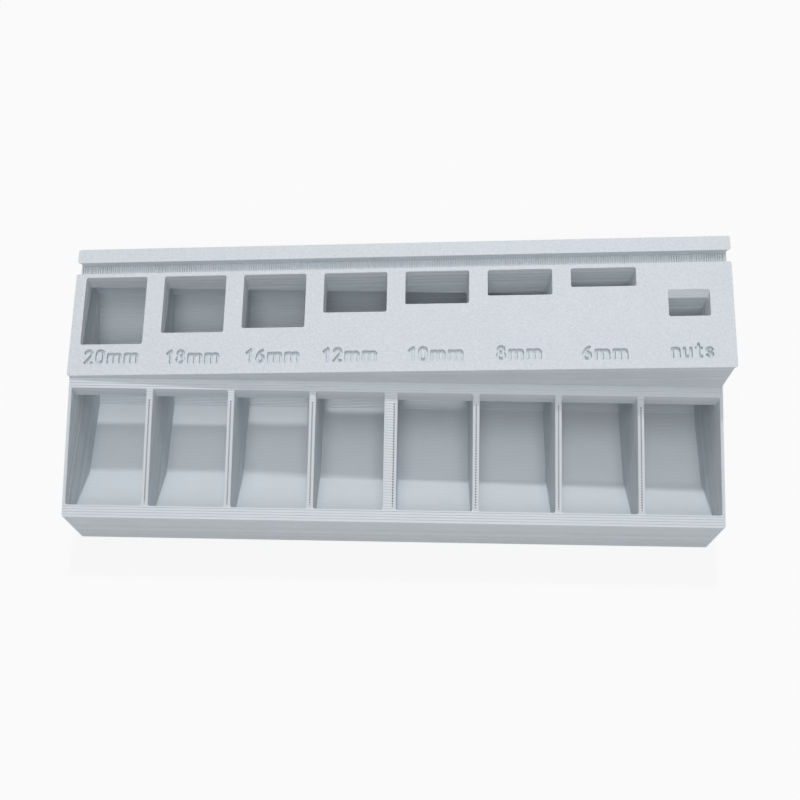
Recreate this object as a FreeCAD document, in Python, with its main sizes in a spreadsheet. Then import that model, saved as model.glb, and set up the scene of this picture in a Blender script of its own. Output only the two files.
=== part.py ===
import FreeCAD, Part
import os
from math import radians
import Sketcher

# Screw sorting tray: a bin tray with eight bins, and a sorting head that rests on its rear half.
# X runs along the row of bins, Y from the lip at the front to the rear wall, Z up.
# The origin is the centre of the base, on the surface that the tray stands on.

doc = FreeCAD.newDocument("ScrewSortingTray")
sizes = doc.addObject("Spreadsheet::Sheet", "Sizes")

# Millimetres and degrees.
DRIVING = {
    "cell_pitch": 22.0,
    "partition_wall": 1.8,
    "middle_wall": 3.6,
    "tray_depth": 72.0,
    "floor_thickness": 3.0,
    "lip_wall": 3.2,
    "lip_height": 18.8,
    "rear_wall": 4.0,
    "seat_height": 29.2,
    "bar_lead": 2.7,
    "bar_height": 5.8,
    "front_ramp_run": 14.8,
    "front_ramp_angle": 32.0,
    "rear_ramp_run": 28.9,
    "rear_ramp_angle": 27.4,
    "head_depth": 36.0,
    "thin_edge": 0.8,
    "slope_along": 3.85,
    "slope_across": 8.85,
    "rail_width": 4.0,
    "groove_width": 3.15,
    "groove_depth": 2.5,
    "window_strip": 1.2,
    "window_width": 17.0,
    "window_corner": 0.5,
    "nut_window_width": 10.7,
    "nut_window_depth": 7.4,
    "nut_window_setback": 14.0,
    "nut_bevel": 1.7,
    "edge_overhang": 0.5,
    "edge_thickness": 0.6,
    "peg_radius": 1.0,
    "peg_length": 4.0,
    "peg_side_clearance": 0.3,
    "peg_end_clearance": 0.5,
}

# How far each window reaches forward of the groove, down the slope: a screw that is shorter drops in.
REACH = {
    "twenty": 20.4,
    "eighteen": 17.4,
    "sixteen": 16.4,
    "twelve": 12.4,
    "ten": 10.4,
    "eight": 8.4,
    "six": 6.4,
}
DRIVING.update({"reach_" + word: reach for word, reach in REACH.items()})
DRIVING["cell_count"] = len(REACH) + 1

for row, (alias, value) in enumerate(DRIVING.items(), start=1):
    sizes.set("A%d" % row, alias)
    sizes.set("B%d" % row, str(value))
    sizes.setAlias("B%d" % row, alias)
doc.recompute()

# Places that features share, as formulas of the driving sizes. PAST is how far a cut runs past a face.
PAST = "1"
LENGTH = "(Sizes.cell_count*Sizes.cell_pitch)"
FRONT = "(-Sizes.tray_depth/2)"
REAR = "(Sizes.tray_depth/2)"
SEAT = "Sizes.seat_height"
HEAD_FRONT = "(%s-Sizes.head_depth)" % REAR
LIP_INNER = "(%s+Sizes.lip_wall)" % FRONT
REAR_INNER = "(%s-Sizes.rear_wall)" % REAR
RAIL_FRONT = "(%s-Sizes.rail_width)" % REAR
GROOVE_FRONT = "(%s-Sizes.groove_width)" % RAIL_FRONT
NUT_FRONT = "(%s+Sizes.nut_window_setback)" % HEAD_FRONT
NUT_REAR = "(%s+Sizes.nut_window_depth)" % NUT_FRONT


def window_front(word):
    """Where the window for one screw length ends, and a screw of that length starts to drop."""
    return "(%s-Sizes.reach_%s*cos(Sizes.slope_across))" % (GROOVE_FRONT, word)


def number(formula):
    """The present value of a formula."""
    return float(sizes.evalExpression(formula))


def origin_feature(body, role):
    return [feature for feature in body.Origin.OriginFeatures if feature.Role == role][0]


def sketch_on(body, name, role, offset=None):
    """An empty sketch on one of the body's own origin planes, moved along its normal by a formula."""
    sketch = body.newObject("Sketcher::SketchObject", name)
    sketch.AttachmentSupport = [(origin_feature(body, role), "")]
    sketch.MapMode = "FlatFace"
    if offset:
        sketch.setExpression("AttachmentOffset.Base.z", offset)
    return sketch


def pin(sketch, kind, elements, name, formula):
    """A dimension of a sketch that follows a formula."""
    index = sketch.addConstraint(Sketcher.Constraint(kind, *elements, number(formula)))
    sketch.renameConstraint(index, name)
    sketch.setExpression("Constraints." + name, formula)


def pin_point(sketch, geometry, end, name, across, up):
    """Holds one point of a sketch element at two formulas, measured from the sketch's origin."""
    pin(sketch, "DistanceX", (-1, 1, geometry, end), name + "_across", across)
    pin(sketch, "DistanceY", (-1, 1, geometry, end), name + "_up", up)


def add_outline(sketch, name, corners):
    """A closed outline of straight lines through corners, each a pair of formulas."""
    points = [FreeCAD.Vector(number(across), number(up), 0) for across, up in corners]
    lines = []
    for start, end in zip(points, points[1:] + points[:1]):
        lines.append(sketch.addGeometry(Part.LineSegment(start, end), False))
    for index, line in enumerate(lines):
        following = lines[(index + 1) % len(lines)]
        sketch.addConstraint(Sketcher.Constraint("Coincident", line, 2, following, 1))
        pin_point(sketch, line, 1, "%s%d" % (name, index), *corners[index])


def add_window(sketch, name, centre, width, front, rear):
    """A closed rectangle with rounded corners, centred on one formula, from a front to a rear one."""
    radius = "Sizes.window_corner"
    left = "(%s-%s/2+%s)" % (centre, width, radius)
    right = "(%s+%s/2-%s)" % (centre, width, radius)
    near = "(%s+%s)" % (front, radius)
    far = "(%s-%s)" % (rear, radius)
    arcs = []
    for index, (across, up) in enumerate([(left, near), (right, near), (right, far), (left, far)]):
        middle = FreeCAD.Vector(number(across), number(up), 0)
        circle = Part.Circle(middle, FreeCAD.Vector(0, 0, 1), number(radius))
        start = radians(180 + 90 * index)
        arcs.append(sketch.addGeometry(Part.ArcOfCircle(circle, start, start + radians(90)), False))
        pin_point(sketch, arcs[-1], 3, "%s%d" % (name, index), across, up)
        pin(sketch, "Radius", (arcs[-1],), "%s%d_radius" % (name, index), radius)
    for arc, following in zip(arcs, arcs[1:] + arcs[:1]):
        side = Part.LineSegment(sketch.getPoint(arc, 2), sketch.getPoint(following, 1))
        line = sketch.addGeometry(side, False)
        sketch.addConstraint(Sketcher.Constraint("Tangent", arc, 2, line, 1))
        sketch.addConstraint(Sketcher.Constraint("Tangent", line, 2, following, 1))


def peg_circles(body, name, radius):
    """The two locating pegs, or their sockets: on the seat over the rear wall, at the outer partitions."""
    sketch = sketch_on(body, name, "XY_Plane", SEAT)
    behind = "(%s-Sizes.rear_wall/2)" % REAR
    aside = "(%s/2-Sizes.cell_pitch)" % LENGTH
    for word, across in (("left", "-" + aside), ("right", aside)):
        middle = FreeCAD.Vector(number(across), number(behind), 0)
        circle = sketch.addGeometry(Part.Circle(middle, FreeCAD.Vector(0, 0, 1), number(radius)), False)
        pin_point(sketch, circle, 3, word, across, behind)
        pin(sketch, "Radius", (circle,), word + "_radius", radius)
    return sketch


def tray_side(body, name, offset=None):
    """The tray seen from its end: the seat for the head at the rear, and the rim sloping down to the lip."""
    side = sketch_on(body, name, "YZ_Plane", offset)
    add_outline(side, "side", [(FRONT, "0"), (REAR, "0"), (REAR, SEAT), (HEAD_FRONT, SEAT),
                               (FRONT, "Sizes.lip_height")])
    return side


def bin_tray():
    """One print: base, lip, rear wall, partitions and the bar across the bins."""
    body = doc.addObject("PartDesign::Body", "BinTray")
    body.Label = "bin_tray"

    block = body.newObject("PartDesign::Pad", "TrayBlock")
    block.Profile = tray_side(body, "TraySide")
    block.Midplane = True
    block.setExpression("Length", LENGTH)

    # A bin in section: lip, front ramp, flat floor, rear ramp and rear wall, cut all round the bar, which
    # reaches back to the longest window.
    floor = "Sizes.floor_thickness"
    front_crease = "(%s+Sizes.front_ramp_run)" % LIP_INNER
    rear_crease = "(%s-Sizes.rear_ramp_run)" % REAR_INNER
    front_ramp_top = "(%s+Sizes.front_ramp_run*tan(Sizes.front_ramp_angle))" % floor
    rear_ramp_top = "(%s+Sizes.rear_ramp_run*tan(Sizes.rear_ramp_angle))" % floor
    bar_front = "(%s-Sizes.bar_lead)" % HEAD_FRONT
    bar_rear = window_front("twenty")
    bar_under = "(%s-Sizes.bar_height)" % SEAT
    above_bar = "(%s+%s)" % (SEAT, PAST)
    above = "(%s+%s)" % (above_bar, PAST)
    section = sketch_on(body, "BinSection", "YZ_Plane", "(Sizes.cell_pitch-%s)/2" % LENGTH)
    add_outline(section, "bin", [(LIP_INNER, above), (LIP_INNER, front_ramp_top), (front_crease, floor),
                                 (rear_crease, floor), (REAR_INNER, rear_ramp_top), (REAR_INNER, above)])
    add_outline(section, "bar", [(bar_front, bar_under), (bar_rear, bar_under),
                                 (bar_rear, above_bar), (bar_front, above_bar)])
    first_bin = body.newObject("PartDesign::Pocket", "FirstBin")
    first_bin.Profile = section
    first_bin.Midplane = True
    first_bin.setExpression("Length", "Sizes.cell_pitch-Sizes.partition_wall")
    bins = body.newObject("PartDesign::LinearPattern", "Bins")
    bins.Originals = [first_bin]
    bins.Direction = (origin_feature(body, "X_Axis"), [""])
    bins.setExpression("Length", "%s-Sizes.cell_pitch" % LENGTH)
    bins.setExpression("Occurrences", "Sizes.cell_count")
    body.Tip = bins
    doc.recompute()

    # The wall between the two middle bins is thicker than the others, towards the left one.
    middle = "(floor(Sizes.cell_count/2)*Sizes.cell_pitch-%s/2)" % LENGTH
    wall = body.newObject("PartDesign::Pad", "MiddleWall")
    wall.Profile = tray_side(body, "MiddleWallSide", "%s+Sizes.partition_wall/2" % middle)
    wall.Reversed = True
    wall.setExpression("Length", "Sizes.middle_wall")

    sockets = body.newObject("PartDesign::Pocket", "PegSockets")
    sockets.Profile = peg_circles(body, "PegSocketCircles", "Sizes.peg_radius+Sizes.peg_side_clearance")
    sockets.setExpression("Length", "Sizes.peg_length+Sizes.peg_end_clearance")
    return body


def plate_height(x, y):
    """Height of the sorting plate, which rises towards the right end and towards the rear."""
    along = "(%s+%s/2)*tan(Sizes.slope_along)" % (x, LENGTH)
    across = "(%s-%s)*tan(Sizes.slope_across)/cos(Sizes.slope_along)" % (y, HEAD_FRONT)
    return "(%s+Sizes.thin_edge+%s+%s)" % (SEAT, along, across)


def sketch_on_plate(body, name):
    """An empty sketch on the plate: its origin at the front left corner, its X up the long slope."""
    sketch = sketch_on(body, name, "XY_Plane")
    corner = "create(<<vector>>; -%s/2; %s; %s+Sizes.thin_edge)" % (LENGTH, HEAD_FRONT, SEAT)
    tilt = "create(<<rotation>>; 0; -Sizes.slope_along; Sizes.slope_across)"
    sketch.setExpression("AttachmentOffset", "create(<<placement>>; %s; %s)" % (corner, tilt))
    return sketch


def add_strip(sketch, near, far):
    """A rectangle right along the head and past both ends, between two distances up the short slope."""
    reach = "(%s/cos(Sizes.slope_along)+%s)" % (LENGTH, LENGTH)
    add_outline(sketch, "strip", [("-" + LENGTH, near), (reach, near), (reach, far), ("-" + LENGTH, far)])


def up_slope(y):
    """Distance up the short slope, from the plate's front edge to a place along Y."""
    return "((%s-%s)/cos(Sizes.slope_across))" % (y, HEAD_FRONT)


def cut(body, name, sketch, towards_normal):
    """A cut through everything on one side of a sketch."""
    pocket = body.newObject("PartDesign::Pocket", name)
    pocket.Profile = sketch
    pocket.Reversed = towards_normal
    pocket.Type = "ThroughAll"


def cut_below_edge(body, name, end, towards_normal):
    """Trims an end under the thin edge that the first printed layers leave all along the plate."""
    front = "(%s-%s)" % (HEAD_FRONT, PAST)
    rear = "(%s+%s)" % (REAR, PAST)
    under = "(%s-%s)" % (SEAT, PAST)
    sketch = sketch_on(body, name + "Outline", "YZ_Plane", end)
    add_outline(sketch, "edge", [(front, under), (rear, under),
                                 (rear, plate_height(end, rear) + "-Sizes.edge_thickness"),
                                 (front, plate_height(end, front) + "-Sizes.edge_thickness")])
    cut(body, name, sketch, towards_normal)


def nut_bevel_section(x):
    """What is cut to lead nuts down from the plate into the shaft of their window."""
    shaft = "(%s-Sizes.nut_bevel)" % NUT_REAR
    height = plate_height(x, NUT_REAR)
    above = "(%s+%s)" % (height, PAST)
    return [(NUT_REAR, height), (NUT_REAR, above), (shaft, above), (shaft, height + "-Sizes.nut_bevel")]


def cell_centre(index):
    """Middle of a cell, counted from the left end."""
    return "((%d+0.5)*Sizes.cell_pitch-%s/2)" % (index, LENGTH)


def sorting_head():
    """One print: a wedge with the sorting plate on top, a groove along it and a window over each bin."""
    body = doc.addObject("PartDesign::Body", "SortingHead")
    body.Label = "sorting_head"

    left = "(-%s/2)" % LENGTH
    right = "(%s/2)" % LENGTH
    above = "(%s+%s)" % (plate_height(right, REAR), PAST)
    side = sketch_on(body, "HeadSide", "YZ_Plane")
    add_outline(side, "side", [(HEAD_FRONT, SEAT), (REAR, SEAT), (REAR, above), (HEAD_FRONT, above)])
    block = body.newObject("PartDesign::Pad", "HeadBlock")
    block.Profile = side
    block.Midplane = True
    block.setExpression("Length", "%s+2*Sizes.edge_overhang" % LENGTH)

    plate = sketch_on_plate(body, "PlateOutline")
    add_strip(plate, "-" + LENGTH, LENGTH)
    cut(body, "Plate", plate, True)
    cut_below_edge(body, "LeftEnd", left, False)
    cut_below_edge(body, "RightEnd", right, True)

    groove_outline = sketch_on_plate(body, "GrooveOutline")
    add_strip(groove_outline, up_slope(GROOVE_FRONT), up_slope(RAIL_FRONT))
    groove = body.newObject("PartDesign::Pocket", "Groove")
    groove.Profile = groove_outline
    groove.setExpression("Length", "Sizes.groove_depth")

    outlines = sketch_on(body, "WindowOutlines", "XY_Plane", SEAT)
    window_rear = "(%s-Sizes.window_strip)" % GROOVE_FRONT
    for index, word in enumerate(REACH):
        add_window(outlines, word, cell_centre(index), "Sizes.window_width", window_front(word), window_rear)
    nut_centre = cell_centre(len(REACH))
    add_window(outlines, "nut", nut_centre, "Sizes.nut_window_width",
               NUT_FRONT, "(%s-Sizes.nut_bevel)" % NUT_REAR)
    cut(body, "Windows", outlines, True)

    bevel_ends = []
    for word, sign in (("Left", "-"), ("Right", "+")):
        end = "(%s%sSizes.nut_window_width/2)" % (nut_centre, sign)
        bevel_ends.append(sketch_on(body, "NutBevel" + word, "YZ_Plane", end))
        add_outline(bevel_ends[-1], "bevel", nut_bevel_section(end))
    bevel = body.newObject("PartDesign::SubtractiveLoft", "NutBevel")
    bevel.Profile = bevel_ends[0]
    bevel.Sections = [bevel_ends[1]]
    bevel.Ruled = True

    pegs = body.newObject("PartDesign::Pad", "Pegs")
    pegs.Profile = peg_circles(body, "PegCircles", "Sizes.peg_radius")
    pegs.Reversed = True
    pegs.setExpression("Length", "Sizes.peg_length")
    return body


def check_and_write(body):
    """Stops on a failed feature or a bad solid, then writes the body's shape under its own name."""
    for feature in [body] + body.Group:
        if "Invalid" in feature.State or "Error" in feature.State:
            raise RuntimeError("%s failed: %s" % (feature.Name, feature.State))
    if body.Shape.isNull() or not body.Shape.isValid() or len(body.Shape.Solids) != 1:
        raise RuntimeError("%s is not one valid solid" % body.Label)
    body.Shape.exportStep("parts/%s.step" % body.Label)
    box = body.Shape.BoundBox
    print("%s: %.1f mm3, box %.2f x %.2f x %.2f mm" % (
        body.Label, body.Shape.Volume, box.XLength, box.YLength, box.ZLength))


bodies = [bin_tray(), sorting_head()]
doc.recompute()
os.makedirs("parts", exist_ok=True)
for body in bodies:
    check_and_write(body)
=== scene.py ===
"""Screw sorting tray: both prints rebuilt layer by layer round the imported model, with their finish."""

import random
from math import atan2, ceil, cos, hypot, pi, radians, sin, tan

import bpy
from mathutils import Matrix, Vector
from mathutils.geometry import delaunay_2d_cdt


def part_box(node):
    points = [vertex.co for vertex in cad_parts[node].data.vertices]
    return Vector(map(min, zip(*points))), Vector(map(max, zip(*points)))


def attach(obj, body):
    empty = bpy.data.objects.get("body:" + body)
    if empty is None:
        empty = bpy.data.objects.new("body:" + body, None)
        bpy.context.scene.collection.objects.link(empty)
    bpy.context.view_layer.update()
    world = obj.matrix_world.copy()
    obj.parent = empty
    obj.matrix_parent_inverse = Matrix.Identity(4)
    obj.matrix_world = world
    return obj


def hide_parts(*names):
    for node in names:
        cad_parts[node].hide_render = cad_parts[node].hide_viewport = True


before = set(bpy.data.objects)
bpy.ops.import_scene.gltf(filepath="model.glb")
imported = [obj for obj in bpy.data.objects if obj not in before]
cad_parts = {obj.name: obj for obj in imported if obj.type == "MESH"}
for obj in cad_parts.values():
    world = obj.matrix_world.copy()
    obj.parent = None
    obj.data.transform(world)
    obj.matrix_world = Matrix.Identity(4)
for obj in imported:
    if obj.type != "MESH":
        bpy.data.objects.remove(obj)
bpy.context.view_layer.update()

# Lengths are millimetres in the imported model's own frame, and MM turns them into metres.
MM = 0.001


def box_mm(node):
    """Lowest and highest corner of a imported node, in millimetres."""
    low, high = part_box(node)
    return [round(v / MM, 2) for v in low], [round(v / MM, 2) for v in high]


(LEFT, FRONT, _), (RIGHT, REAR, SEAT) = box_mm("bin_tray")
(_, HEAD_FRONT, PEG_END), _ = box_mm("sorting_head")

# Driving sizes, as in the CAD source.
CELLS = 8
PARTITION = 1.8
MIDDLE_WALL = 3.6
FLOOR = 3.0
LIP_WALL = 3.2
LIP_HEIGHT = 18.8
REAR_WALL = 4.0
BAR_LEAD = 2.7
BAR_HEIGHT = 5.8
FRONT_RAMP_RUN = 14.8
FRONT_RAMP_ANGLE = radians(32.0)
REAR_RAMP_RUN = 28.9
REAR_RAMP_ANGLE = radians(27.4)
THIN_EDGE = 0.8
SLOPE_ALONG = radians(3.85)
SLOPE_ACROSS = radians(8.85)
RAIL = 4.0
GROOVE = 3.15
GROOVE_DEPTH = 2.5
WINDOW_STRIP = 1.2
WINDOW_WIDTH = 17.0
WINDOW_REACH = [20.4, 17.4, 16.4, 12.4, 10.4, 8.4, 6.4]
NUT_WINDOW = (10.7, 7.4)
NUT_SETBACK = 14.0
NUT_BEVEL = 1.7
PEG_RADIUS = 1.0
SOCKET_RADIUS = 1.3
SOCKET_DEPTH = 4.5

# What the printer leaves: layers, how far the joints between them lie back, and how far each one strays.
LAYER = 0.2
JOINT_DEPTH = 0.045
WOBBLE = 0.014

# The round corners that its nozzle leaves. On a side shorter than NARROW_SIDE they take in more of it, up to
# CORNER_SHARE. Slight turns and radii that are too small stay sharp.
OUTER_CORNER = 0.7
INNER_CORNER = 0.5
NARROW_SIDE = 2.0
CORNER_SHARE = 0.45
SMALLEST_RADIUS = 0.165
SMALLEST_TURN = radians(35)
CORNER_STEP = radians(24)

# The small gap in a partition's end: width and length, how far it lies back, and how many layers deep it is.
TIP_GAP = (0.28, 0.25)
TIP_GAP_SETBACK = 0.4
TIP_GAP_LAYERS = 3

# How far the layers next to the bed stand out, and how many layers deep the marks are.
SQUASHED_EDGE = [0.5, 0.36, 0.16]
MARK_LAYERS = 5

# How outlines and meshes are built. Smaller loops are left out, and a hole up to LARGEST_GAP is a small gap.
SMALLEST_AREA = 0.05
LARGEST_GAP = 0.25
MERGE = 0.0001
DECIMALS = 4
STRAIGHT = 0.002
MITRE_LIMIT = 0.2
DISC_SIDES = 24
SMOOTH_BELOW = radians(40)
PAST = 5.0

# A face's finish is its place in the piece's list of materials. GAP's material is painted dark, as painted
# shade inside the small gaps.
WALL, SKIN, LAST, GAP = range(4)

# Places that follow from the driving sizes.
PITCH = (RIGHT - LEFT) / CELLS
CENTRES = [LEFT + (index + 0.5) * PITCH for index in range(CELLS)]
LIP_INNER = FRONT + LIP_WALL
REAR_INNER = REAR - REAR_WALL
BAR_FRONT = HEAD_FRONT - BAR_LEAD
BAR_UNDER = SEAT - BAR_HEIGHT
RIM_SLOPE = (SEAT - LIP_HEIGHT) / (HEAD_FRONT - FRONT)
GROOVE_REAR = REAR - RAIL
GROOVE_FRONT = GROOVE_REAR - GROOVE
WINDOW_REAR = GROOVE_FRONT - WINDOW_STRIP
WINDOW_FRONTS = [GROOVE_FRONT - reach * cos(SLOPE_ACROSS) for reach in WINDOW_REACH]
BAR_REAR = WINDOW_FRONTS[0]
NUT_FRONT = HEAD_FRONT + NUT_SETBACK
NUT_REAR = NUT_FRONT + NUT_WINDOW[1]
PEGS = [(LEFT + PITCH, REAR - REAR_WALL / 2), (RIGHT - PITCH, REAR - REAR_WALL / 2)]
RISE_ALONG = tan(SLOPE_ALONG)
RISE_ACROSS = tan(SLOPE_ACROSS) / cos(SLOPE_ALONG)
LEAN = 1 / hypot(1, RISE_ALONG, RISE_ACROSS)
GROOVE_DROP = GROOVE_DEPTH / LEAN


def plate_height(x, y):
    """Height of the sorting plate over a place on the bench."""
    return SEAT + THIN_EDGE + (x - LEFT) * RISE_ALONG + (y - HEAD_FRONT) * RISE_ACROSS


def groove_shift(drop):
    """How far the groove, which is cut square to the plate, has moved back at a drop below it."""
    return drop * cos(SLOPE_ALONG) * sin(SLOPE_ACROSS) * cos(SLOPE_ACROSS)


# Plane outlines. Each is a list of (x, y) points, with the material on its left.

def rectangle(left, right, near, far):
    return [(left, near), (right, near), (right, far), (left, far)]


def disc(centre, radius):
    angles = [2 * pi * n / DISC_SIDES for n in range(DISC_SIDES)]
    return [(centre[0] + radius * cos(a), centre[1] + radius * sin(a)) for a in angles]


def clipped(outline, height_of):
    """The part of a convex outline where height_of is above zero."""
    kept = []
    for here, after in zip(outline, outline[1:] + outline[:1]):
        low, high = height_of(*here), height_of(*after)
        if low > 0:
            kept.append(here)
        if (low > 0) != (high > 0):
            share = low / (low - high)
            kept.append(tuple(a + share * (b - a) for a, b in zip(here, after)))
    return kept


def area(loop):
    return sum(a[0] * b[1] - b[0] * a[1] for a, b in zip(loop, loop[1:] + loop[:1])) / 2


def corners_of(loop):
    """Each point with the way into it and the way out of it."""
    for before, here, after in zip(loop[-1:] + loop[:-1], loop, loop[1:] + loop[:1]):
        here = Vector(here)
        yield here, here - Vector(before), Vector(after) - here


def turn_at(inward, outward):
    return atan2(inward.cross(outward), inward.dot(outward))


def left_of(way):
    return Vector((-way.y, way.x)).normalized()


def straightened(loop):
    """A loop without the points that lie on its straight sides."""
    return [tuple(here) for here, inward, outward in corners_of(loop)
            if abs(turn_at(inward, outward)) > STRAIGHT]


def rounded(loop):
    """A loop with its sharp corners as round as a nozzle leaves them."""
    points = []
    for here, inward, outward in corners_of(loop):
        turn = turn_at(inward, outward)
        half = tan(abs(turn) / 2)
        side = min(inward.length, outward.length)
        limit = side if side < NARROW_SIDE else OUTER_CORNER
        reach = min(half * (limit if turn > 0 else INNER_CORNER), CORNER_SHARE * side)
        radius = reach / max(half, MERGE)
        if abs(turn) < SMALLEST_TURN or radius < SMALLEST_RADIUS:
            points.append(tuple(here))
            continue
        start = here - inward.normalized() * reach
        centre = start + left_of(inward) * (radius if turn > 0 else -radius)
        steps = max(2, ceil(abs(turn) / CORNER_STEP))
        for step in range(steps + 1):
            points.append(tuple(centre + Matrix.Rotation(turn * step / steps, 2) @ (start - centre)))
    return points


def inset(loop, depth):
    """A loop moved into its material, which lies on its left."""
    points = []
    for here, inward, outward in corners_of(loop):
        first, second = left_of(inward), left_of(outward)
        length = depth / max(MITRE_LIMIT, 1 + first.dot(second))
        points.append(tuple(here + (first + second) * length))
    return points


def split_plane(loops):
    """Triangles between closed loops, the loops round each, and each loop's sides as chains of corners."""
    points, sides, rings = [], [], []
    for loop in loops:
        ids = list(range(len(points), len(points) + len(loop)))
        points += [Vector((round(x, DECIMALS), round(y, DECIMALS))) for x, y in loop]
        sides.append(list(zip(ids, ids[1:] + ids[:1])))
        rings.append(ids if area(loop) > 0 else ids[::-1])
    flat = [side for ring in sides for side in ring]
    corners, lines, triangles, starts, line_of, round_each = delaunay_2d_cdt(
        points, flat, rings, 0, MERGE, True)
    corner_of = {old: new for new, olds in enumerate(starts) for old in olds}
    on_side = [set() for _ in flat]
    for line, owners in zip(lines, line_of):
        for owner in owners:
            if owner < len(flat):
                on_side[owner].update(line)
    chains, number = [], 0
    for ring in sides:
        chains.append([])
        for start, end in ring:
            way = points[end] - points[start]
            ends = {corner_of[start], corner_of[end]}
            between = sorted(on_side[number] - ends, key=lambda c: corners[c].dot(way))
            chains[-1].append([corner_of[start], *between, corner_of[end]])
            number += 1
    return corners, list(zip(triangles, round_each)), chains


def plan(solids, cuts):
    """Outlines of what is left of solid shapes once others are cut from them."""
    corners, triangles, _ = split_plane([*solids, *cuts])
    half_edges = set()
    for triangle, inside in triangles:
        if inside and all(shape < len(solids) for shape in inside):
            half_edges.update(zip(triangle, triangle[1:] + triangle[:1]))
    following = {a: b for a, b in half_edges if (b, a) not in half_edges}
    loops = []
    while following:
        here = next(iter(following))
        loop = []
        while here in following:
            loop.append(tuple(corners[here]))
            here = following.pop(here)
        loops.append(straightened(loop))
    return [rounded(loop) for loop in loops if len(loop) > 2 and abs(area(loop)) > SMALLEST_AREA]


def stack(name, layers, place, seed):
    """One closed mesh from the layers' outlines, bottom first. place(x, y, level) gives a point's height.

    Its faces take the finish of a wall, of a top skin, of the last layer's top, or of a small gap's inside,
    which is painted shade.
    """
    chance = random.Random(seed)
    vertices, faces, finishes = [], [], []

    def add(points, level):
        first = len(vertices)
        vertices.extend((x * MM, y * MM, place(x, y, level) * MM) for x, y in points)
        return first

    rims = [[inset(loop, JOINT_DEPTH) for loop in loops] for loops in layers]
    belts = []
    for level in range(len(layers) + 1):
        lower = rims[level - 1] if level else []
        upper = rims[level] if level < len(layers) else []
        corners, triangles, chains = split_plane([*lower, *upper])
        first = add(corners, level)
        for triangle, inside in triangles:
            in_lower = sum(loop < len(lower) for loop in inside) % 2
            in_upper = sum(loop >= len(lower) for loop in inside) % 2
            if in_lower != in_upper:
                face = [first + corner for corner in triangle]
                faces.append(face if in_lower else face[::-1])
                finishes.append(LAST if level == len(layers) else SKIN if in_lower else WALL)
        for (belt, finish), chain_ring in zip(belts, chains):
            for side, chain in enumerate(chain_ring):
                following = belt[(side + 1) % len(belt)]
                top = [first + corner for corner in reversed(chain)]
                faces.append([belt[side], following, *top])
                finishes.append(finish)
        belts = []
        if level == len(layers):
            break
        wobble = chance.uniform(0, WOBBLE)
        for loop, chain_ring in zip(layers[level], chains[len(lower):]):
            start = add(inset(loop, wobble), level + 0.5)
            belt = list(range(start, start + len(loop)))
            # A small hole's inside takes the finish that is painted dark as shade.
            finish = GAP if -LARGEST_GAP < area(loop) < 0 else WALL
            belts.append((belt, finish))
            for side, chain in enumerate(chain_ring):
                following = belt[(side + 1) % len(belt)]
                faces.append([*(first + corner for corner in chain), following, belt[side]])
                finishes.append(finish)
    return mesh_object(name, vertices, faces, finishes)


def mesh_object(name, vertices, faces, finishes=None):
    mesh = bpy.data.meshes.new(name)
    mesh.from_pydata(vertices, [], faces)
    if finishes:
        mesh.polygons.foreach_set("material_index", finishes)
    mesh.validate()
    mesh.shade_smooth()
    mesh.set_sharp_from_angle(angle=SMOOTH_BELOW)
    piece = bpy.data.objects.new(name, mesh)
    bpy.context.scene.collection.objects.link(piece)
    return piece


# The bin tray, printed standing on its base.

def bin_sides(index):
    """The faces left and right of a bin. The bin left of the middle makes room for the thicker wall."""
    half = (PITCH - PARTITION) / 2
    extra = MIDDLE_WALL - PARTITION if index == CELLS // 2 - 1 else 0.0
    return CENTRES[index] - half, CENTRES[index] + half - extra


def tip_gaps(rim):
    """The small gaps in the partitions' ends: those of this layer, and those that reach down into it."""
    width, length = TIP_GAP
    gaps = []
    for number in range(1, CELLS):
        x = LEFT + PITCH * number
        for above in range(TIP_GAP_LAYERS):
            near = rim + TIP_GAP_SETBACK + above * LAYER / RIM_SLOPE
            gaps.append(rectangle(x - width / 2, x + width / 2, near, near + length))
    return gaps


def tray_layer(level):
    """Plan of the tray's layer over a level."""
    bottom, top = level * LAYER, (level + 1) * LAYER
    rim = FRONT + max(0.0, top - LIP_HEIGHT) / RIM_SLOPE
    near = max(LIP_INNER, LIP_INNER + FRONT_RAMP_RUN - (top - FLOOR) / tan(FRONT_RAMP_ANGLE))
    far = min(REAR_INNER, REAR_INNER - REAR_RAMP_RUN + (top - FLOOR) / tan(REAR_RAMP_ANGLE))
    cuts = []
    if rim > LIP_INNER:
        near = FRONT - PAST
        if rim < BAR_FRONT - LIP_WALL:
            cuts += tip_gaps(rim)
    if bottom > FLOOR - LAYER / 2:
        gaps = [(near, far)]
        if bottom > BAR_UNDER - LAYER / 2:
            gaps = [(near, BAR_FRONT), (BAR_REAR, far)]
        cuts += [rectangle(*bin_sides(index), *gap) for index in range(CELLS) for gap in gaps]
    if bottom > SEAT - SOCKET_DEPTH - LAYER / 2:
        cuts += [disc(peg, SOCKET_RADIUS) for peg in PEGS]
    return plan([rectangle(LEFT, RIGHT, rim, REAR)], cuts)


def bin_tray():
    layers = [tray_layer(level) for level in range(round(SEAT / LAYER))]
    return stack("bin_tray_print", layers, lambda x, y, level: level * LAYER, seed=3)


# The sorting head, printed on its plate, so that its layers lie along the plate. Level 0 is the lowest.

DEPTH_STEP = LAYER / LEAN
HEAD_LEVELS = ceil((plate_height(PEGS[1][0], PEGS[1][1]) - PEG_END) / DEPTH_STEP)


def depth_of(level):
    """How far under the plate a level lies, straight down."""
    return (HEAD_LEVELS - level) * DEPTH_STEP


def head_height(x, y, level):
    return plate_height(x, y) - depth_of(level)


def arc(x, y, radius, start, stop, squash=1.0):
    """Points on an arc about x and y, from one angle in degrees to another."""
    steps = max(2, ceil(radians(abs(stop - start)) / CORNER_STEP))
    angles = [radians(start + (stop - start) * step / steps) for step in range(steps + 1)]
    return [(x + radius * cos(a), y + radius * squash * sin(a)) for a in angles]


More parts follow.
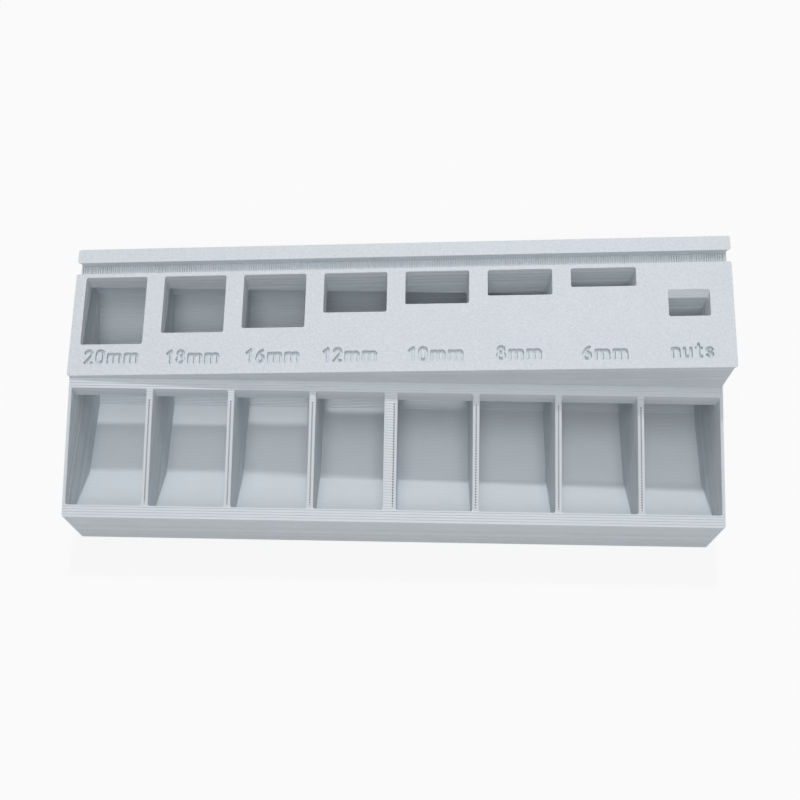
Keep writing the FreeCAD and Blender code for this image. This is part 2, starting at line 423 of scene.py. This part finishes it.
def ring(y, radius):
    """A figure's round part, as a right and a left half."""
    return [arc(FIGURE / 2, y, radius, 90, turn) for turn in (-90, 270)]


def arch(left, right):
    """A small letter's arch between two stems, and the stem on its right."""
    return (arc(left + BEND, SMALL - BEND, BEND, 180, 90) + arc(right - BEND, SMALL - BEND, BEND, 90, 0)
            + [(right, 0)])


# The marks are plain strokes of one width with round ends. A letter is the width of its strokes' middle
# lines, then those lines, over a base line at 0.
STROKE = 0.76
FIGURE = 1.8
CAPITAL = 3.3
SMALL = 2.25
BEND = 0.5
ROUND = FIGURE / 2
STEMS = (0.0, 1.625, 3.25)
SMALL_WIDTH = 1.65
LETTERS = {
    "0": (FIGURE, [arc(ROUND, CAPITAL - ROUND, ROUND, 90, 0) + arc(ROUND, ROUND, ROUND, 0, -90),
                   arc(ROUND, CAPITAL - ROUND, ROUND, 90, 180) + arc(ROUND, ROUND, ROUND, 180, 270)]),
    "1": (1.0, [[(0, CAPITAL - 0.8), (1.0, CAPITAL)], [(1.0, CAPITAL), (1.0, 0)]]),
    "2": (FIGURE, [arc(ROUND, CAPITAL - ROUND, ROUND, 165, -38) + [(0, 0)], [(0, 0), (FIGURE, 0)]]),
    "6": (FIGURE, [*ring(ROUND, ROUND), arc(2.4, ROUND, 2.4, 180, 112)]),
    "8": (FIGURE, [*ring(ROUND, ROUND), *ring(CAPITAL - 0.75, 0.75)]),
    "m": (STEMS[2], [[(0, 0), (0, SMALL)], arch(*STEMS[:2]), arch(*STEMS[1:])]),
    "n": (SMALL_WIDTH, [[(0, 0), (0, SMALL)], arch(0, SMALL_WIDTH)]),
    "u": (SMALL_WIDTH, [[(0, SMALL)] + arc(BEND, BEND, BEND, 180, 270)
                        + arc(SMALL_WIDTH - BEND, BEND, BEND, -90, 0),
                        [(SMALL_WIDTH, SMALL), (SMALL_WIDTH, 0)]]),
    "t": (1.3, [[(0.6, CAPITAL)] + arc(0.6 + BEND, BEND, BEND, 180, 270) + [(1.3, 0)],
                [(0, SMALL), (1.3, SMALL)]]),
    "s": (1.4, [arc(0.7, SMALL * 0.75, 0.7, 20, 270, 0.8), arc(0.7, SMALL * 0.25, 0.7, 90, -160, 0.8)]),
}
LETTER_GAP = 0.62 + STROKE
GAP_AFTER_ONE = 0.95 + STROKE
STROKE_END_STEP = 30

# Each mark, how far its middle lies right of its bin's, and how far its base line lies behind the front
# edge.
MARKS = [("20mm", 0.36, 3.6), ("18mm", 0.67, 3.3), ("16mm", 0.3, 3.25), ("12mm", -0.99, 3.25),
         ("10mm", -0.27, 3.2), ("8mm", -0.47, 3.15), ("6mm", -0.18, 2.85), ("nuts", 0.12, 3.05)]


def stroke_outline(line):
    """A closed outline round a line, with round ends."""
    outline = []
    for way in (line, line[::-1]):
        way = [Vector(point) for point in way]
        headings = [(after - here).normalized() for here, after in zip(way, way[1:])]
        for point, before, after in zip(way, headings[:1] + headings, headings):
            outline.append(tuple(point - left_of(before + after) * STROKE / 2))
        start = left_of(headings[-1]) * -STROKE / 2
        for turn in range(0, 180, STROKE_END_STEP):
            outline.append(tuple(way[-1] + Matrix.Rotation(radians(turn), 2) @ start))
    return outline


def mark_cuts():
    """Outlines of all strokes of the marks under the windows, in plan."""
    cuts = []
    for (word, shift, base), centre in zip(MARKS, CENTRES):
        gaps = [GAP_AFTER_ONE if letter == "1" else LETTER_GAP for letter in word[:-1]]
        width = sum(LETTERS[letter][0] for letter in word) + sum(gaps)
        x = centre + shift - width / 2
        for letter, gap in zip(word, gaps + [0]):
            letter_width, lines = LETTERS[letter]
            for line in lines:
                cuts.append(stroke_outline([(x + across, HEAD_FRONT + base + up) for across, up in line]))
            x += letter_width + gap
    return cuts


def window_cuts(depth):
    """The windows in plan, at a depth under the plate."""
    half = WINDOW_WIDTH / 2
    cuts = []
    for centre, front in zip(CENTRES, WINDOW_FRONTS):
        cuts.append(rectangle(centre - half, centre + half, front, WINDOW_REAR))
    half = NUT_WINDOW[0] / 2
    rear = NUT_REAR - min(depth, NUT_BEVEL)
    cuts.append(rectangle(CENTRES[-1] - half, CENTRES[-1] + half, NUT_FRONT, rear))
    return cuts


def head_layer(level, marks):
    """Plan of the head's layer over a level."""
    top, bottom = depth_of(level + 1), depth_of(level)
    from_plate = HEAD_LEVELS - 1 - level
    edge = SQUASHED_EDGE[from_plate] if from_plate < len(SQUASHED_EDGE) else 0.0
    outline = clipped(rectangle(LEFT - edge, RIGHT + edge, HEAD_FRONT, REAR),
                      lambda x, y: plate_height(x, y) - bottom - SEAT)
    solids = [outline] if len(outline) > 2 else []
    for x, y in PEGS:
        lowest = plate_height(x, y) - PEG_RADIUS * hypot(RISE_ALONG, RISE_ACROSS) - bottom
        if lowest > PEG_END and plate_height(x, y) - top < SEAT + PEG_RADIUS:
            solids.append(disc((x, y), PEG_RADIUS))
    cuts = window_cuts(bottom)
    if top < GROOVE_DROP:
        back = groove_shift(top)
        cuts.append(rectangle(LEFT - PAST, RIGHT + PAST, GROOVE_FRONT + back, GROOVE_REAR + back))
    return plan(solids, cuts + marks if from_plate < MARK_LAYERS else cuts)


def sorting_head():
    marks = mark_cuts()
    layers = [head_layer(level, marks) for level in range(HEAD_LEVELS)]
    return stack("sorting_head_print", layers, head_height, seed=5)


# The groove's floor was printed over nothing, so single strands span it. Some stretches sag.

STRAND_SEED = 11
STRAND_PITCH = 0.62
STRAND_RADIUS = 0.24
STRAND_SIDES = 8
STRAND_STATIONS = 7
STRAND_MARGIN = 0.1
STRAND_THICKNESS = (0.8, 1.05)
SAG = 0.05
LOOSE_SAG = 0.34
LOOSE_LEAN = 0.1
SPACING = (0.97, 1.03)
LOOSE_SPACING = (0.8, 1.3)
LOOSE_STRETCHES = [(-88, -79), (-67, -57), (60, 63), (69, 88)]


def strand_rings(x, sag, lean, radius):
    """Rings of points along one strand, from the groove's front wall to the one behind."""
    back = groove_shift(GROOVE_DROP)
    rings = []
    for station in range(STRAND_STATIONS):
        share = station / (STRAND_STATIONS - 1)
        y = GROOVE_FRONT + back - STRAND_RADIUS + share * (GROOVE + 2 * STRAND_RADIUS)
        middle = plate_height(x, y) - GROOVE_DROP + sag * sin(pi * share)
        angles = [2 * pi * side / STRAND_SIDES for side in range(STRAND_SIDES)]
        rings.append([((x + lean * share + radius * sin(a)) * MM, y * MM, (middle + radius * cos(a)) * MM)
                      for a in angles])
    return rings


def groove_strands():
    chance = random.Random(STRAND_SEED)
    vertices, faces = [], []
    x = LEFT + STRAND_RADIUS
    while x < RIGHT - STRAND_RADIUS - STRAND_MARGIN:
        loose = any(low < x < high for low, high in LOOSE_STRETCHES)
        sag = chance.uniform(0, LOOSE_SAG if loose else SAG)
        lean = chance.uniform(-LOOSE_LEAN, LOOSE_LEAN) if loose else 0.0
        rings = strand_rings(x, sag, lean, STRAND_RADIUS * chance.uniform(*STRAND_THICKNESS))
        first = len(vertices)
        vertices += [point for points in rings for point in points]
        for station in range(STRAND_STATIONS - 1):
            for side in range(STRAND_SIDES):
                near = first + station * STRAND_SIDES
                after = (side + 1) % STRAND_SIDES
                faces.append([near + side, near + after, near + STRAND_SIDES + after,
                              near + STRAND_SIDES + side])
        faces.append(list(range(first + STRAND_SIDES - 1, first - 1, -1)))
        faces.append(list(range(len(vertices) - STRAND_SIDES, len(vertices))))
        x += STRAND_PITCH * chance.uniform(*(LOOSE_SPACING if loose else SPACING))
    return mesh_object("groove_strands", vertices, faces)


# Finish. Textures are laid out in millimetres, on places that move with the piece.

PRINT_COLOUR = (0.685, 0.735, 0.775)
PLATE_COLOUR = (0.69, 0.74, 0.78)
# Painted shade: the small gaps' insides are coloured dark to stand in for the shade deep in them.
GAP_SHADE_COLOUR = (0.2, 0.22, 0.24)
FILAMENT_IOR = 1.46
UP = Vector((0, 0, 1))
PLATE_WAY = Vector((-RISE_ALONG, -RISE_ACROSS, 1)) * LEAN

# Each noise: blotches to the millimetre, and steps of finer detail. Streaks are drawn out along the layers.
PATCHES = (0.11, 3.0)
BANDS = (0.45, 3.0)
STREAKS = (2.2, 2.0)
GRAIN = (3.2, 2.0)
BED = (1.7, 3.0)
ALONG_LAYERS = (0.12, 0.12, 0.12)

# The lines of a top skin, which a wave texture of scale 1 repeats this often in 2 pi.
LINE_WIDTH = 0.42
WAVE_REPEATS = 20
LINE_WANDER = 0.6
LINE_DETAIL = 1.0


def new_material(name):
    material = bpy.data.materials.new(name)
    material.use_nodes = True
    return material, material.node_tree


def add_node(tree, kind, inputs, **settings):
    """A new node. Its inputs, by name or number, get a plain value or a link from another node's output."""
    node = tree.nodes.new("ShaderNode" + kind)
    for name, value in settings.items():
        setattr(node, name, value)
    for key, value in inputs.items():
        if isinstance(value, bpy.types.NodeSocket):
            tree.links.new(value, node.inputs[key])
        else:
            node.inputs[key].default_value = value
    return node


def noise(tree, place, scale, detail):
    """Noise from 0 to 1."""
    inputs = {"Vector": place, "Scale": scale, "Detail": detail}
    return add_node(tree, "TexNoise", inputs).outputs[0]


def mixed(tree, middle, parts):
    """A value that swings about a middle one. Each part is a texture and how far it swings the value."""
    value = middle - sum(swing for _, swing in parts) / 2
    for texture, swing in parts:
        swung = add_node(tree, "Math", {0: texture, 1: swing, 2: value}, operation="MULTIPLY_ADD")
        value = swung.outputs[0]
    return value


def filament_finish(name, colour, layer_way, tones, roughness, reliefs):
    """Matte filament. Tones and reliefs, in millimetres, are lists of texture names and swings.

    Roughness is its middle value and a list of the same kind.
    """
    material, tree = new_material(name)
    shader = tree.nodes["Principled BSDF"]
    shader.inputs["IOR"].default_value = FILAMENT_IOR
    own_place = add_node(tree, "TexCoord", {}).outputs["Object"]
    place = add_node(tree, "VectorMath", {0: own_place, "Scale": 1 / MM}, operation="SCALE").outputs[0]
    along = add_node(tree, "VectorMath", {0: place, 1: layer_way}, operation="DOT_PRODUCT").outputs["Value"]
    height = add_node(tree, "CombineXYZ", {"Z": along}).outputs[0]
    stretched = add_node(tree, "VectorMath", {0: place, 1: ALONG_LAYERS}, operation="MULTIPLY").outputs[0]
    in_layers = add_node(tree, "VectorMath", {0: height, 1: stretched}, operation="ADD").outputs[0]
    line_inputs = {"Vector": place, "Scale": 2 * pi / (WAVE_REPEATS * LINE_WIDTH),
                   "Distortion": LINE_WANDER, "Detail": LINE_DETAIL}
    textures = {
        "patches": noise(tree, place, *PATCHES),
        "bands": noise(tree, height, *BANDS),
        "streaks": noise(tree, in_layers, *STREAKS),
        "grain": noise(tree, place, *GRAIN),
        "bed": noise(tree, place, *BED),
        "lines": add_node(tree, "TexWave", line_inputs, bands_direction="Y").outputs["Fac"],
    }
    tone = mixed(tree, 1.0, [(textures[key], swing) for key, swing in tones])
    shade = add_node(tree, "VectorMath", {0: colour, "Scale": tone}, operation="SCALE").outputs[0]
    tree.links.new(shade, shader.inputs["Base Color"])
    middle, swings = roughness
    rough = mixed(tree, middle, [(textures[key], swing) for key, swing in swings])
    tree.links.new(rough, shader.inputs["Roughness"])
    relief = mixed(tree, 0.0, [(textures[key], swing) for key, swing in reliefs])
    bump = add_node(tree, "Bump", {"Height": relief, "Distance": MM, "Strength": 1.0})
    tree.links.new(bump.outputs[0], shader.inputs["Normal"])
    return material


def wall_finish(name, colour, layer_way):
    return filament_finish(name, colour, layer_way, [("patches", 0.07), ("bands", 0.09), ("streaks", 0.07)],
                           (0.52, [("streaks", 0.16)]), [("streaks", 0.03), ("grain", 0.012)])


def skin_finish(name, colour, layer_way):
    return filament_finish(name, colour, layer_way, [("patches", 0.06), ("lines", 0.05), ("grain", 0.05)],
                           (0.5, [("grain", 0.15)]), [("lines", 0.022), ("grain", 0.012)])


def plate_finish(name, colour):
    return filament_finish(name, colour, PLATE_WAY, [("patches", 0.05), ("bed", 0.3), ("grain", 0.16)],
                           (0.55, [("bed", 0.2)]), [("bed", 0.15), ("grain", 0.045)])


FLOOR_SIZE = 6
FLOOR_COLOUR = (0.8, 0.8, 0.8)
FLOOR_ROUGHNESS = 0.9
FLOOR_WHITENESS = 0.85


def floor_finish():
    """Pale floor that the camera sees as white, with some of the object's shadow left."""
    material, tree = new_material("pale_floor")
    shader = tree.nodes["Principled BSDF"]
    shader.inputs["Base Color"].default_value = (*FLOOR_COLOUR, 1)
    shader.inputs["Roughness"].default_value = FLOOR_ROUGHNESS
    white = add_node(tree, "Emission", {})
    seen = add_node(tree, "LightPath", {}).outputs["Is Camera Ray"]
    share = add_node(tree, "Math", {0: seen, 1: FLOOR_WHITENESS}, operation="MULTIPLY").outputs[0]
    mix = add_node(tree, "MixShader", {0: share, 1: shader.outputs[0], 2: white.outputs[0]})
    tree.links.new(mix.outputs[0], tree.nodes["Material Output"].inputs["Surface"])
    return material


def finish_piece(piece, materials, body):
    for material in materials:
        piece.data.materials.append(material)
    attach(piece, body)
    triangles = sum(len(face.vertices) - 2 for face in piece.data.polygons)
    print(piece.name, len(piece.data.vertices), "vertices,", triangles, "triangles")


tray_walls = wall_finish("tray_walls", PRINT_COLOUR, UP)
tray_skin = skin_finish("tray_skin", PRINT_COLOUR, UP)
# Painted shade: the partitions' small gaps are the same filament, coloured dark for the shade in them.
tray_gap_shade = wall_finish("tray_gap_shade", GAP_SHADE_COLOUR, UP)
tray = bin_tray()
finish_piece(tray, [tray_walls, tray_skin, tray_skin, tray_gap_shade], "tray")
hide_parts("bin_tray")

head_walls = wall_finish("head_walls", PRINT_COLOUR, PLATE_WAY)
head_skin = skin_finish("head_skin", PRINT_COLOUR, PLATE_WAY)
sorting_plate = plate_finish("sorting_plate", PLATE_COLOUR)
head = sorting_head()
finish_piece(head, [head_walls, head_skin, sorting_plate], "head")
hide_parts("sorting_head")

strand_walls = wall_finish("strands", PRINT_COLOUR, PLATE_WAY)
finish_piece(groove_strands(), [strand_walls], "head")

bpy.ops.mesh.primitive_plane_add(size=FLOOR_SIZE)
floor = bpy.context.object
floor.name = "floor"
floor.data.materials.append(floor_finish())


# Light and camera. A lamp is its name, width and power, and its place in metres.

LAMPS = [("overhead", 0.5, 1.65, (0, -0.03, 1.0)),
         ("front_fill", 0.4, 2.1, (0, -0.5, 0.87)),
         ("rear_key", 0.06, 2.7, (0, 0.48, 0.875))]
LAMP_TARGET = Vector((0, 0, 0.03))
SKY_STRENGTH = 0.32
WHITE = (1, 1, 1, 1)
SENSOR_WIDTH = 36
LENS = 47.25
CAMERA_PLACE = Vector((5.04, -116.99, 286.31))
CAMERA_RIGHT = (0.99979, 0.01962, -0.00517)
CAMERA_UP = (-0.01593, 0.91687, 0.39886)
CAMERA_BACK = (0.01257, -0.3987, 0.917)


def area_light(name, size, power, place):
    lamp = bpy.data.lights.new(name, "AREA")
    lamp.shape = "DISK"
    lamp.size = size
    lamp.energy = power
    light = bpy.data.objects.new(name, lamp)
    light.location = place
    light.rotation_euler = (LAMP_TARGET - Vector(place)).to_track_quat("-Z", "Y").to_euler()
    bpy.context.scene.collection.objects.link(light)


def studio_world():
    """Even light from all round, and white where the camera sees past the floor."""
    world = bpy.data.worlds.new("studio")
    world.use_nodes = True
    tree = world.node_tree
    seen = add_node(tree, "LightPath", {}).outputs["Is Camera Ray"]
    strength = add_node(tree, "Math", {0: seen, 1: 1 - SKY_STRENGTH, 2: SKY_STRENGTH},
                        operation="MULTIPLY_ADD").outputs[0]
    sky = tree.nodes["Background"]
    sky.inputs["Color"].default_value = WHITE
    tree.links.new(strength, sky.inputs["Strength"])
    return world


for lamp_values in LAMPS:
    area_light(*lamp_values)
bpy.context.scene.world = studio_world()

camera_data = bpy.data.cameras.new("camera")
camera_data.sensor_width = SENSOR_WIDTH
camera_data.lens = LENS
camera = bpy.data.objects.new("camera", camera_data)
camera_axes = Matrix((CAMERA_RIGHT, CAMERA_UP, CAMERA_BACK)).transposed().to_4x4()
camera.matrix_world = Matrix.Translation(CAMERA_PLACE * MM) @ camera_axes
bpy.context.scene.collection.objects.link(camera)
bpy.context.scene.camera = camera

bpy.context.scene.view_settings.view_transform = "Standard"
